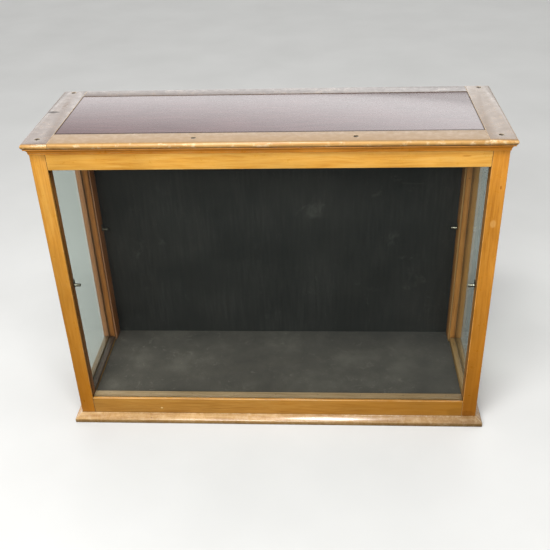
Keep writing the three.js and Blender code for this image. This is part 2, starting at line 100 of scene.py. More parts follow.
def growth(tree, along, light, mid, dark, pore, ring_mm, figure):
    """Growth rings about a pith that lies outside the piece, with drawn-out fibres over them. figure is how
    far the rings wander. Gives the colour, the fibres and the broader streaks."""
    # Slow drift of the whole pattern, so that rings wander along the board.
    slow = add(tree, "ShaderNodeMapping", {"Vector": along, "Scale": (1 / 45, 1 / 45, 1 / 260)}).outputs[0]
    drift = add(tree, "ShaderNodeTexNoise", {"Vector": slow, "Scale": 1.0, "Detail": 2.0}).outputs["Color"]
    shift = add(tree, "ShaderNodeVectorMath", {0: drift, 1: (0.5, 0.5, 0.5)},
                operation="SUBTRACT").outputs[0]
    swing = add(tree, "ShaderNodeVectorMath", {0: shift, "Scale": 26.0 * figure},
                operation="SCALE").outputs[0]
    bent = add(tree, "ShaderNodeVectorMath", {0: along, 1: swing}, operation="ADD").outputs[0]
    across = add(tree, "ShaderNodeVectorMath", {0: bent, 1: (1, 1, 0)}, operation="MULTIPLY").outputs[0]
    radius = add(tree, "ShaderNodeVectorMath", {0: across}, operation="LENGTH").outputs["Value"]
    years = add(tree, "ShaderNodeMath", {0: radius, 1: 1 / ring_mm}, operation="MULTIPLY").outputs[0]
    year = add(tree, "ShaderNodeMath", {0: years}, operation="FRACT").outputs[0]
    late = add(tree, "ShaderNodeValToRGB", {"Fac": year},
               stops=[(0.0, 0.0), (0.55, 0.3), (0.86, 1.0), (1.0, 0.0)]).outputs["Color"]

    # Fibres about half a millimetre wide and twenty long, and streaks some 4 mm wide.
    fine = add(tree, "ShaderNodeMapping", {"Vector": bent, "Scale": (1.6, 1.6, 1 / 22)}).outputs[0]
    fibre = add(tree, "ShaderNodeTexNoise", {"Vector": fine, "Scale": 1.0, "Detail": 3.0,
                                             "Roughness": 0.62}).outputs["Fac"]
    coarse = add(tree, "ShaderNodeMapping", {"Vector": bent, "Scale": (0.23, 0.23, 1 / 90)}).outputs[0]
    streak = add(tree, "ShaderNodeTexNoise", {"Vector": coarse, "Scale": 1.0, "Detail": 4.0,
                                              "Roughness": 0.55}).outputs["Fac"]
    tone = add(tree, "ShaderNodeValToRGB", {"Fac": streak},
               stops=[(0.22, light), (0.50, mid), (0.85, dark)]).outputs["Color"]
    late_share = add(tree, "ShaderNodeMath", {0: late, 1: 0.2 * figure}, operation="MULTIPLY").outputs[0]
    ringed = add(tree, "ShaderNodeMix", {0: late_share, 6: tone, 7: linear(dark)},
                 data_type="RGBA").outputs[2]
    fibre_share = add(tree, "ShaderNodeMapRange", {"Value": fibre, "From Min": 0.5, "From Max": 0.8,
                                                   "To Min": 0.0, "To Max": 0.28}).outputs[0]
    colour = add(tree, "ShaderNodeMix", {0: fibre_share, 6: ringed, 7: linear(pore)},
                 data_type="RGBA").outputs[2]
    return colour, fibre, streak


def timber(name, axis, light, mid, dark, pore, worn, gloss=0.34, coat=0.35, ring_mm=3.2, figure=1.0,
           crease_shade=0.55, bump=0.25, cloudy=1.0, battered=0.0, bleach_and_painted_light=None, shaded=None, marks=(), seams=()):
    """Sawn and planed softwood under old shellac varnish: uneven and rubbed pale on the arrises, and darkened
    with painted shade where pieces meet. axis is the way the grain runs, and places and sizes are in mm.

    cloudy is how unevenly it shines, and battered how much of the edge is chipped pale and bruised dark.
    faded is (the way a face looks, its colour, how much), for faces that sun or handling has paled, with
    painted light laid into the same colour. shaded is (the way, where it is full, where it ends, colour),
    painted shade that darkens a piece along one way, towards where less light falls.
    marks are dents and stains: (centre, half sizes, colour, strength).
    seams are the dark lines of glue joints: (the way across, place, half width), drawn wider than real so
    that they show."""
    material, tree = new_material(name)
    place = add(tree, "ShaderNodeTexCoord").outputs["Object"]
    pith = (chance.uniform(-90, 90), chance.uniform(-90, 90), chance.uniform(-400, 400))
    in_mm = add(tree, "ShaderNodeMapping", {"Vector": place, "Scale": (1000, 1000, 1000)}).outputs[0]
    turned = add(tree, "ShaderNodeMapping", {"Vector": in_mm, "Rotation": GRAIN_TURN[axis]}).outputs[0]
    along = add(tree, "ShaderNodeMapping", {"Vector": turned, "Location": pith}).outputs[0]

    colour, fibre, streak = growth(tree, along, light, mid, dark, pore, ring_mm, figure)

    # Painted shade: the colour darkens towards the given colour, fully at one place and not at all at
    # another.
    if shaded:
        way, full, none, stain_and_shade_colour = shaded
        reach = add(tree, "ShaderNodeVectorMath", {0: in_mm, 1: way},
                    operation="DOT_PRODUCT").outputs["Value"]
        share = add(tree, "ShaderNodeMapRange", {"Value": reach, "From Min": full, "From Max": none,
                                                 "To Min": 0.8, "To Max": 0.0}).outputs[0]
        colour = add(tree, "ShaderNodeMix", {0: share, 6: colour, 7: linear(stain_and_shade_colour)},
                     data_type="RGBA").outputs[2]

    # Broad patches where the varnish is thicker and darker.
    broad = add(tree, "ShaderNodeMapping", {"Vector": along, "Scale": (1 / 60, 1 / 60, 1 / 130)}).outputs[0]
    patch = add(tree, "ShaderNodeTexNoise", {"Vector": broad, "Scale": 1.0, "Detail": 4.0}).outputs["Fac"]
    depth = add(tree, "ShaderNodeMapRange", {"Value": patch, "From Min": 0.3, "From Max": 0.7,
                                             "To Min": 0.86, "To Max": 1.1}).outputs[0]
    colour = add(tree, "ShaderNodeVectorMath", {0: colour, "Scale": depth}, operation="SCALE").outputs[0]

    rub = add(tree, "ShaderNodeTexNoise", {"Vector": along, "Scale": 1 / 14, "Detail": 5.0,
                                           "Roughness": 0.7}).outputs["Fac"]
    if battered:
        chipped = add(tree, "ShaderNodeMapRange", {"Value": rub, "From Min": 0.54, "From Max": 0.64,
                                                   "To Min": 0.0, "To Max": battered}).outputs[0]
        colour = add(tree, "ShaderNodeMix", {0: chipped, 6: colour, 7: linear(worn)},
                     data_type="RGBA").outputs[2]
        bruised = add(tree, "ShaderNodeMapRange", {"Value": rub, "From Min": 0.40, "From Max": 0.32,
                                                   "To Min": 0.0, "To Max": 0.8 * battered}).outputs[0]
        colour = add(tree, "ShaderNodeMix", {0: bruised, 6: colour, 7: linear(pore)},
                     data_type="RGBA").outputs[2]

    normal = add(tree, "ShaderNodeNewGeometry").outputs["Normal"]
    # Faces that look the given way take another colour: real sun-paling and dust, with painted light in it,
    # such as the sheen of the bright wall on the top.
    if bleach_and_painted_light:
        way, bleach_and_light_colour, share = bleach_and_painted_light
        looks = add(tree, "ShaderNodeVectorMath", {0: normal, 1: way},
                    operation="DOT_PRODUCT").outputs["Value"]
        facing = add(tree, "ShaderNodeMapRange", {"Value": looks, "From Min": 0.55, "From Max": 0.97,
                                                  "To Min": 0.0, "To Max": share}).outputs[0]
        ragged = add(tree, "ShaderNodeMapRange", {"Value": rub, "From Min": 0.3, "From Max": 0.5,
                                                  "To Min": 0.88, "To Max": 1.0}).outputs[0]
        thinned = add(tree, "ShaderNodeMath", {0: facing, 1: ragged}, operation="MULTIPLY").outputs[0]
        colour = add(tree, "ShaderNodeMix", {0: thinned, 6: colour, 7: linear(bleach_and_light_colour)},
                     data_type="RGBA").outputs[2]

    # Small dark stains and pinholes, about 26 mm apart, most of them under a millimetre.
    spread = add(tree, "ShaderNodeTexVoronoi", {"Vector": along, "Scale": 1 / 26, "Randomness": 1.0})
    lot = add(tree, "ShaderNodeSeparateXYZ", {0: spread.outputs["Color"]})
    spot_size = add(tree, "ShaderNodeMath", {0: lot.outputs["X"], 1: 4.0}, operation="POWER").outputs[0]
    spot_reach = add(tree, "ShaderNodeMath", {0: spot_size, 1: 0.055, 2: 0.012},
                     operation="MULTIPLY_ADD").outputs[0]
    spot = add(tree, "ShaderNodeMath", {0: spread.outputs["Distance"], 1: spot_reach},
               operation="LESS_THAN").outputs[0]
    spot_share = add(tree, "ShaderNodeMath", {0: spot, 1: 0.55}, operation="MULTIPLY").outputs[0]
    colour = add(tree, "ShaderNodeMix", {0: spot_share, 6: colour, 7: linear(pore)},
                 data_type="RGBA").outputs[2]

    # Dents and stains, with edges that follow the fibres.
    bare_spots = []
    for centre, half, stain_and_shade_colour, strength in marks:
        off = add(tree, "ShaderNodeVectorMath", {0: in_mm, 1: centre}, operation="SUBTRACT").outputs[0]
        scaled = add(tree, "ShaderNodeVectorMath", {0: off, 1: half}, operation="DIVIDE").outputs[0]
        away = add(tree, "ShaderNodeVectorMath", {0: scaled}, operation="LENGTH").outputs["Value"]
        rough_edge = add(tree, "ShaderNodeMath", {0: fibre, 1: 0.9, 2: away},
                         operation="MULTIPLY_ADD").outputs[0]
        inside = add(tree, "ShaderNodeMapRange", {"Value": rough_edge, "From Min": 1.55, "From Max": 1.2,
                                                  "To Min": 0.0, "To Max": strength}).outputs[0]
        colour = add(tree, "ShaderNodeMix", {0: inside, 6: colour, 7: linear(stain_and_shade_colour)},
                     data_type="RGBA").outputs[2]
        bare_spots.append(inside)

    # Arrises: the rounded normal leaves the true one only close to an edge.
    rounded = add(tree, "ShaderNodeBevel", {"Radius": 1.8 * MM}, samples=4).outputs[0]
    match = add(tree, "ShaderNodeVectorMath", {0: normal, 1: rounded},
                operation="DOT_PRODUCT").outputs["Value"]
    edge = add(tree, "ShaderNodeMapRange", {"Value": match, "From Min": 0.995, "From Max": 0.86,
                                            "To Min": 0.0, "To Max": 1.0}).outputs[0]
    rubbed = add(tree, "ShaderNodeMapRange", {"Value": rub, "From Min": 0.40, "From Max": 0.62,
                                              "To Min": 0.1, "To Max": 0.85}).outputs[0]
    edge_share = add(tree, "ShaderNodeMath", {0: edge, 1: rubbed}, operation="MULTIPLY").outputs[0]
    colour = add(tree, "ShaderNodeMix", {0: edge_share, 6: colour, 7: linear(worn)},
                 data_type="RGBA").outputs[2]

    for way, place_mm, half_mm in seams:
        reach = add(tree, "ShaderNodeVectorMath", {0: in_mm, 1: way},
                    operation="DOT_PRODUCT").outputs["Value"]
        off = add(tree, "ShaderNodeMath", {0: reach, 1: place_mm}, operation="SUBTRACT").outputs[0]
        gap = add(tree, "ShaderNodeMath", {0: off}, operation="ABSOLUTE").outputs[0]
        dark_line = add(tree, "ShaderNodeMapRange", {
            "Value": gap, "From Min": half_mm - 0.6, "From Max": half_mm,
            "To Min": 0.85, "To Max": 0.0}).outputs[0]
        colour = add(tree, "ShaderNodeMix", {0: dark_line, 6: colour, 7: linear("#2c1f18")},
                     data_type="RGBA").outputs[2]
        bare_spots.append(dark_line)

    # Painted shade where two pieces meet: ambient occlusion darkens the colour in joints and corners.
    open_air = add(tree, "ShaderNodeAmbientOcclusion", {"Distance": 9 * MM}, samples=4).outputs["AO"]
    painted_crease_shade = add(tree, "ShaderNodeMapRange", {"Value": open_air, "From Min": 0.35, "From Max": 0.85,
                                             "To Min": 1 - crease_shade, "To Max": 1.0}).outputs[0]
    colour = add(tree, "ShaderNodeVectorMath", {0: colour, "Scale": painted_crease_shade}, operation="SCALE").outputs[0]

    dull = add(tree, "ShaderNodeMapRange", {"Value": rub, "From Min": 0.35, "From Max": 0.7,
                                            "To Min": gloss - 0.07 * cloudy,
                                            "To Max": gloss + 0.16 * cloudy}).outputs[0]
    rough = add(tree, "ShaderNodeMath", {0: edge_share, 1: 0.25, 2: dull},
                operation="MULTIPLY_ADD").outputs[0]
    relief = add(tree, "ShaderNodeMath", {0: fibre, 1: streak}, operation="ADD").outputs[0]
    pitted = add(tree, "ShaderNodeMath", {0: relief, 1: spot}, operation="SUBTRACT").outputs[0]
    raised = add(tree, "ShaderNodeBump",
                 {"Height": pitted, "Strength": bump, "Distance": 0.15 * MM}).outputs[0]

    # Dents and open joints have lost their varnish, so they shine less than the face round them.
    shine = 0.5
    if bare_spots:
        whole = 1.0
        for bare in bare_spots:
            kept = add(tree, "ShaderNodeMath", {0: 1.0, 1: bare}, operation="SUBTRACT").outputs[0]
            whole = add(tree, "ShaderNodeMath", {0: kept, 1: whole}, operation="MULTIPLY").outputs[0]
        coat = add(tree, "ShaderNodeMath", {0: whole, 1: coat}, operation="MULTIPLY").outputs[0]
        shine = add(tree, "ShaderNodeMath", {0: whole, 1: shine}, operation="MULTIPLY").outputs[0]
    shader = add(tree, "ShaderNodeBsdfPrincipled", {
        "Base Color": colour, "Roughness": rough, "Normal": raised, "IOR": 1.5, "Specular IOR Level": shine,
        "Coat Weight": coat, "Coat Roughness": 0.18}).outputs[0]
    finish_material(tree, shader)
    return material


def black_paint():
    """Blackboard paint brushed on a thin board: flat, with faint brush streaks and dusty rubs."""
    material, tree = new_material("blackboard_paint")
    place = add(tree, "ShaderNodeTexCoord").outputs["Object"]
    stretch = add(tree, "ShaderNodeMapping", {"Vector": place, "Scale": (160, 160, 14)}).outputs[0]
    brushed = add(tree, "ShaderNodeTexNoise", {"Vector": stretch, "Scale": 1.0, "Detail": 6.0,
                                               "Roughness": 0.6}).outputs["Fac"]
    cloud = add(tree, "ShaderNodeTexNoise", {"Vector": place, "Scale": 9.0, "Detail": 5.0}).outputs["Fac"]
    both = add(tree, "ShaderNodeMath", {0: brushed, 1: cloud}, operation="MULTIPLY").outputs[0]
    colour = add(tree, "ShaderNodeValToRGB", {"Fac": both},
                 stops=[(0.12, "#1d1e1d"), (0.28, "#252524"), (0.45, "#302f2e")]).outputs["Color"]
    # Chalky rubs, a few to the board, each a few centimetres across.
    rubs = add(tree, "ShaderNodeTexNoise", {"Vector": place, "Scale": 16.0, "Detail": 8.0,
                                            "Roughness": 0.72, "Distortion": 0.8}).outputs["Fac"]
    rub_share = add(tree, "ShaderNodeMapRange", {"Value": rubs, "From Min": 0.60, "From Max": 0.78,
                                                 "To Min": 0.0, "To Max": 0.16}).outputs[0]
    colour = add(tree, "ShaderNodeMix", {0: rub_share, 6: colour, 7: linear("#8d8b84")},
                 data_type="RGBA").outputs[2]
    rough = add(tree, "ShaderNodeMapRange", {"Value": cloud, "To Min": 0.6, "To Max": 0.9}).outputs[0]
    raised = add(tree, "ShaderNodeBump",
                 {"Height": brushed, "Strength": 0.25, "Distance": 0.1 * MM}).outputs[0]
    shader = add(tree, "ShaderNodeBsdfPrincipled", {
        "Base Color": colour, "Roughness": rough, "Normal": raised, "IOR": 1.45}).outputs[0]
    finish_material(tree, shader)
    return material


def lining_cloth():
    """Thin dark baize glued to the floor board: a matt nap gone pale with age, with pale scuffs and dust in
    it.
    Painted shade darkens it towards the right.
    """
    material, tree = new_material("faded_baize")
    place = add(tree, "ShaderNodeTexCoord").outputs["Object"]
    cloud = add(tree, "ShaderNodeTexNoise", {"Vector": place, "Scale": 11.0, "Detail": 6.0,
                                             "Roughness": 0.62}).outputs["Fac"]
    # The nap is drawn at about 1.4 mm, coarser than real, so that it shows.
    nap = add(tree, "ShaderNodeTexNoise", {"Vector": place, "Scale": 700.0, "Detail": 2.0}).outputs["Fac"]
    base = add(tree, "ShaderNodeValToRGB", {"Fac": cloud},
               stops=[(0.30, "#3d3732"), (0.52, "#4c453f"), (0.72, "#5e5750")]).outputs["Color"]
    spread = add(tree, "ShaderNodeTexNoise", {"Vector": place, "Scale": 38.0, "Detail": 8.0,
                                              "Roughness": 0.75, "Distortion": 1.5}).outputs["Fac"]
    scuff = add(tree, "ShaderNodeMapRange", {"Value": spread, "From Min": 0.58, "From Max": 0.72,
                                             "To Min": 0.0, "To Max": 0.55}).outputs[0]
    paler_tone = add(tree, "ShaderNodeMix", {0: scuff, 6: base, 7: linear("#8d867b")},
                data_type="RGBA").outputs[2]
    fleck = add(tree, "ShaderNodeMapRange", {"Value": nap, "From Min": 0.3, "From Max": 0.7,
                                             "To Min": 0.82, "To Max": 1.18}).outputs[0]
    # Painted shade: the cloth darkens towards the right, where less light falls.
    side = add(tree, "ShaderNodeSeparateXYZ", {0: place}).outputs["X"]
    painted_shade_to_right = add(tree, "ShaderNodeMapRange", {"Value": side, "From Min": -0.4, "From Max": 0.4,
                                              "To Min": 1.02, "To Max": 0.72}).outputs[0]
    nap_and_painted_shade = add(tree, "ShaderNodeMath", {0: fleck, 1: painted_shade_to_right}, operation="MULTIPLY").outputs[0]
    colour = add(tree, "ShaderNodeVectorMath", {0: paler_tone, "Scale": nap_and_painted_shade}, operation="SCALE").outputs[0]
    raised = add(tree, "ShaderNodeBump", {"Height": nap, "Strength": 0.5, "Distance": 0.3 * MM}).outputs[0]
    shader = add(tree, "ShaderNodeBsdfPrincipled", {
        "Base Color": colour, "Roughness": 0.95, "Normal": raised, "Sheen Weight": 0.15}).outputs[0]
    finish_material(tree, shader)
    return material


def window_glass():
    """Old drawn sheet glass: clear, a little green, slightly wavy, with a thin film of dust."""
    material, tree = new_material("sheet_glass")
    place = add(tree, "ShaderNodeTexCoord").outputs["Object"]
    film = add(tree, "ShaderNodeTexNoise", {"Vector": place, "Scale": 6.0, "Detail": 6.0,
                                            "Roughness": 0.6}).outputs["Fac"]
    ripple = add(tree, "ShaderNodeTexNoise", {"Vector": place, "Scale": 5.0, "Detail": 1.0}).outputs["Fac"]
    wavy = add(tree, "ShaderNodeBump", {"Height": ripple, "Strength": 0.05, "Distance": 1 * MM}).outputs[0]
    # How much a face mirrors, by Schlick's rule: 4% face on, all of it edge on, the same from both sides.
    slant = add(tree, "ShaderNodeLayerWeight", {"Blend": 0.5}).outputs["Facing"]
    steep = add(tree, "ShaderNodeMath", {0: slant, 1: 5.0}, operation="POWER").outputs[0]
    mirrored = add(tree, "ShaderNodeMath", {0: steep, 1: 0.96, 2: 0.04},
                   operation="MULTIPLY_ADD").outputs[0]
    clear = add(tree, "ShaderNodeBsdfTransparent", {"Color": linear("#fafdfb")}).outputs[0]
    mirror = add(tree, "ShaderNodeBsdfGlossy", {"Color": (1, 1, 1, 1), "Roughness": 0.02,
                                                "Normal": wavy}).outputs[0]
    pane = add(tree, "ShaderNodeMixShader", {0: mirrored, 1: clear, 2: mirror}).outputs[0]
    dust = add(tree, "ShaderNodeBsdfDiffuse", {"Color": linear("#b9b4a8")}).outputs[0]
    share = add(tree, "ShaderNodeMapRange", {"Value": film, "From Min": 0.4, "From Max": 0.75,
                                             "To Min": 0.001, "To Max": 0.01}).outputs[0]
    shader = add(tree, "ShaderNodeMixShader", {0: share, 1: pane, 2: dust}).outputs[0]
    finish_material(tree, shader)
    return material


def old_metal(name, bright, dull, tarnish, gloss):
    """Metal left to dull: bright where it is touched, darker and rougher elsewhere, finely scratched."""
    material, tree = new_material(name)
    place = add(tree, "ShaderNodeTexCoord").outputs["Object"]
    cloud = add(tree, "ShaderNodeTexNoise", {"Vector": place, "Scale": 160.0, "Detail": 6.0,
                                             "Roughness": 0.65}).outputs["Fac"]
    scratch_space = add(tree, "ShaderNodeMapping", {"Vector": place, "Scale": (900, 900, 90)}).outputs[0]
    scratch = add(tree, "ShaderNodeTexNoise", {"Vector": scratch_space, "Scale": 1.0,
                                               "Detail": 3.0}).outputs["Fac"]
    colour = add(tree, "ShaderNodeValToRGB", {"Fac": cloud},
                 stops=[(0.35, bright), (0.52, dull), (0.70, tarnish)]).outputs["Color"]
    rough = add(tree, "ShaderNodeMapRange", {"Value": cloud, "From Min": 0.35, "From Max": 0.7,
                                             "To Min": gloss, "To Max": gloss + 0.25}).outputs[0]
    raised = add(tree, "ShaderNodeBump",
                 {"Height": scratch, "Strength": 0.12, "Distance": 0.05 * MM}).outputs[0]
    shader = add(tree, "ShaderNodeBsdfPrincipled", {
        "Base Color": colour, "Metallic": 1.0, "Roughness": rough, "Normal": raised}).outputs[0]
    finish_material(tree, shader)
    return material


# ---------------------------------------------------------------- pieces

# The body that each piece rides on, and its material slot.
BODY_OF = {n: body for body, names in frame["record"]["behaviour"]["bodies"].items() for n in names}

# Edges that turn by more than this are arrises, and short ones deep inside a long piece are rims of holes.
ARRIS_TURN = math.radians(28)
LONG_PIECE = 100 * MM
RIM = 3 * MM


def shaped(node, material, arris_mm=0.6, segments=2):
    """The node's own shape as one smooth-shaded mesh with its arrises eased, in the node's place."""
    source = frame["nodes"][node]
    mesh = bpy.data.meshes.new(node + "_shaped")
    grown = bmesh.new()
    grown.from_mesh(source.data)
    bmesh.ops.remove_doubles(grown, verts=grown.verts, dist=2e-6)
    bmesh.ops.dissolve_limit(grown, angle_limit=math.radians(0.5), verts=grown.verts, edges=grown.edges)
    for face in grown.faces:
        face.smooth = True
    # On a long piece the rims of drilled holes, short edges well inside its outline, stay sharp.
    low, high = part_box(node)
    drilled = max(source.dimensions) > LONG_PIECE
    eased_share = grown.edges.layers.float.new("bevel_weight_edge")
    for edge in grown.edges:
        if edge.is_manifold and edge.calc_face_angle() > ARRIS_TURN:
            middle = (edge.verts[0].co + edge.verts[1].co) / 2
            inside = sum(min(m - a, b - m) > RIM for m, a, b in zip(middle, low, high))
            rim = drilled and inside >= 2 and edge.calc_length() < RIM
            if arris_mm and not rim:
                edge[eased_share] = 1.0
            else:
                edge.smooth = False
    grown.to_mesh(mesh)
    grown.free()
    piece = bpy.data.objects.new(node + "_shaped", mesh)
    scene.collection.objects.link(piece)
    mesh.materials.append(material)
    if arris_mm:
        eased = piece.modifiers.new("Arris", "BEVEL")
        eased.width = arris_mm * MM
        eased.segments = segments
        eased.limit_method = "WEIGHT"
        eased.harden_normals = True
    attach(piece, BODY_OF[node])
    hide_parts(node)
    return piece


# The wood's colours, by how its varnish has aged: light, middle and dark streaks, pores, and rubbed arrises.
GOLD = dict(light="#e6b45c", mid="#dca246", dark="#bd7b24", pore="#8a4c12", worn="#f2cf94")
AMBER = dict(light="#d29b45", mid="#c58b35", dark="#a36a1e", pore="#74400f", worn="#ecc688")
ORANGE = dict(light="#d6953c", mid="#cb872d", dark="#a6671b", pore="#733c0c", worn="#e8bb78")
HONEY = dict(light="#c9964a", mid="#be873a", dark="#9a641d", pore="#6c3f12", worn="#e9c793")
PALE = dict(light="#c9a672", mid="#b89058", dark="#8f6232", pore="#5d3a1a", worn="#ecd6ae")
RED = dict(light="#5b4040", mid="#4d3436", dark="#3a2426", pore="#24161a", worn="#8f7064")
DRY = dict(light="#bd9f7c", mid="#af906e", dark="#84683f", pore="#54402a", worn="#d3bb95")
TAN = dict(light="#a28154", mid="#937247", dark="#6f512d", pore="#47321d", worn="#b99a6f")
UMBER = dict(light="#5c493a", mid="#4e3c30", dark="#392a20", pore="#221914", worn="#7b634b")
BRONZE = dict(light="#d4944e", mid="#c48341", dark="#995d26", pore="#5b3211", worn="#dcb078")
COPPER = dict(light="#dc9048", mid="#cc803c", dark="#9f5b23", pore="#5e3010", worn="#deab70")
NOSING = dict(light="#d4ad6e", mid="#c79959", dark="#a4712f", pore="#77430f", worn="#f6e2bd")
RUSSET = dict(light="#e2983a", mid="#d48729", dark="#a96414", pore="#6a380a", worn="#e3b472")
BARE = dict(light="#a5845a", mid="#8f6e47", dark="#6a4c2e", pore="#45301c", worn="#b99a6e")

# The ways that a face looks, or that a varnish darkens.
UP = (0, 0, 1)
FORWARD = (0, -1, 0)
RIGHT = (1, 0, 0)
BACKWARD = (0, 1, 0)


def carcase_frame():
    """Posts and rails. The front posts darken towards the foot with painted shade. The faces of the back
    posts that look forward and the tops of the side rails carry dust and sun-paling, with painted light in
    that colour. The left back post's inner face and the front rail's right end carry painted shade."""
    # Painted shade: the front posts darken towards the foot, where less light reaches.
    painted_foot_shade = (UP, 40.0, 560.0, "#a8660f")
    painted_lower_foot_shade = (UP, 20.0, 420.0, "#a8660f")
    left_marks = [((-435, -145, 570), (8, 3, 90), "#d8aa58", 0.15),
                  ((-423, -145, 655), (5, 3, 9), "#a5762c", 0.5)]
    right_marks = [((435, -145, 508), (6, 3, 9), "#d6a35e", 0.5),
                   ((441, -145, 585), (2, 3, 4), "#8a4c14", 0.6),
                   ((431, -145, 26), (16, 3, 9), "#7c4a16", 0.45)]
    lower_rail_marks = [((408, -145, 30), (24, 3, 14), "#6d4a1c", 0.25),
                        ((-262, -145, 34), (2.5, 3, 2), "#efd49a", 0.9)]
    upper_rail_marks = [((372, -145, 650), (9, 3, 2), "#a9702a", 0.5)]
    shaped("post_front_left", timber("shellacked_pine_left_post", "z", gloss=0.33, shaded=painted_foot_shade,
                                     marks=left_marks, **AMBER))
    shaped("post_front_right", timber("shellacked_pine_right_post", "z", gloss=0.33, shaded=painted_lower_foot_shade,
                                      marks=right_marks, **ORANGE))
    # Painted shade: the left back post's inner face, turned away from the lamps, takes a deeper orange.
    painted_inner_shade = (RIGHT, -419.0, -424.0, "#d0762c")
    # The back posts' forward faces are paler: dust, with painted light from the lamps in front.
    for side, paler_tone, inner in (("left", "#d19874", painted_inner_shade), ("right", "#c49a66", None)):
        shaped("post_back_" + side, timber("shellacked_pine_back_post_" + side, "z", gloss=0.36,
                                           shaded=inner, bleach_and_painted_light=(FORWARD, paler_tone, 0.9), **BRONZE))
        # The side rails' tops take a greyer colour: dust, with painted light in it.
        shaped("lower_rail_" + side, timber("shellacked_pine_side_rail_" + side, "y", gloss=0.36,
                                            bleach_and_painted_light=(UP, "#8d7456", 0.85), **HONEY))
        shaped("upper_rail_" + side,
               timber("shellacked_pine_upper_side_rail_" + side, "y", gloss=0.33, **GOLD))
    shaped("upper_rail_front", timber("shellacked_pine_upper_rail_front", "x", gloss=0.33, figure=0.8,
                                      marks=upper_rail_marks, **GOLD))
    shaped("upper_rail_back", timber("shellacked_pine_upper_rail_back", "x", gloss=0.33, **GOLD))
    # Painted shade: the front lower rail darkens towards its right end.
    shaped("lower_rail_front", timber("shellacked_pine_lower_rail_front", "x", gloss=0.35,
                                      shaded=(RIGHT, 440.0, -60.0, "#9c6618"),
                                      marks=lower_rail_marks, **HONEY))
    shaped("lower_rail_back", timber("shellacked_pine_lower_rail_back", "x", gloss=0.35, **HONEY))


def mouldings():
    """The cove under the top, a deep orange, and the plinth, which is scuffed pale and shines. Painted shade
    darkens the plinth towards the right.
    """
    for place, axis in (("front", "x"), ("left", "y"), ("right", "y")):
        shaped("cove_" + place,
               timber("shellacked_pine_cove_" + place, axis, gloss=0.33, crease_shade=0.35, **RUSSET),
               arris_mm=0.3)
        # Painted shade: the plinth darkens towards the right.
        shaped("plinth_" + place, timber("worn_pine_plinth_" + place, axis, gloss=0.26, coat=0.95,
                                         battered=0.15, shaded=(RIGHT, 460.0, -60.0, "#785b36"), **PALE),
               arris_mm=0.4)


def glazing():
    """The three sheets and the thin beads that hold them, left unvarnished in front and stained at the
    sides. The front beads darken towards the right with painted shade, and the left side beads are darker
    than the right ones, painted shade too."""
    glass = window_glass()
    for place in ("front", "left", "right"):
        shaped("glass_" + place, glass, arris_mm=0)
    # Painted shade: the front beads darken towards the right.
    dry = timber("dry_pine_bead", "x", gloss=0.5, coat=0.0, crease_shade=0.3,
                 shaded=(RIGHT, 440.0, 60.0, "#8c6c46"), **DRY)
    shaped("bead_front_bottom", dry, arris_mm=0.3)
    shaped("bead_front_top", dry, arris_mm=0.3)
    # The left side beads take darker colours than the right ones: painted shade, as they look away from the
    # lamps.
    lit_and_shaded_beads = {"left": (COPPER, UMBER), "right": (BRONZE, TAN)}
    for side, (standing, lying) in lit_and_shaded_beads.items():
        stained = timber("stained_pine_bead_painted_side_light_" + side, "z", gloss=0.42, coat=0.15, **standing)
        shaped("bead_front_" + side, stained, arris_mm=0.3)
        shaped("bead_" + side + "_front", stained, arris_mm=0.3)
        shaped("bead_" + side + "_back", stained, arris_mm=0.3)
        level = timber("level_pine_bead_painted_side_light_" + side, "y", gloss=0.5, coat=0.0, **lying)
        shaped("bead_" + side + "_bottom", level, arris_mm=0.3)
        shaped("bead_" + side + "_top", level, arris_mm=0.3)


def floor_and_door():
    """The bare floor board with its cloth, and the blackened door behind."""
    shaped("base_board", timber("bare_deal", "x", gloss=0.7, coat=0.0, **BARE))
    shaped("floor_lining", lining_cloth(), arris_mm=0.4)
    shaped("back_door", black_paint(), arris_mm=0.5)


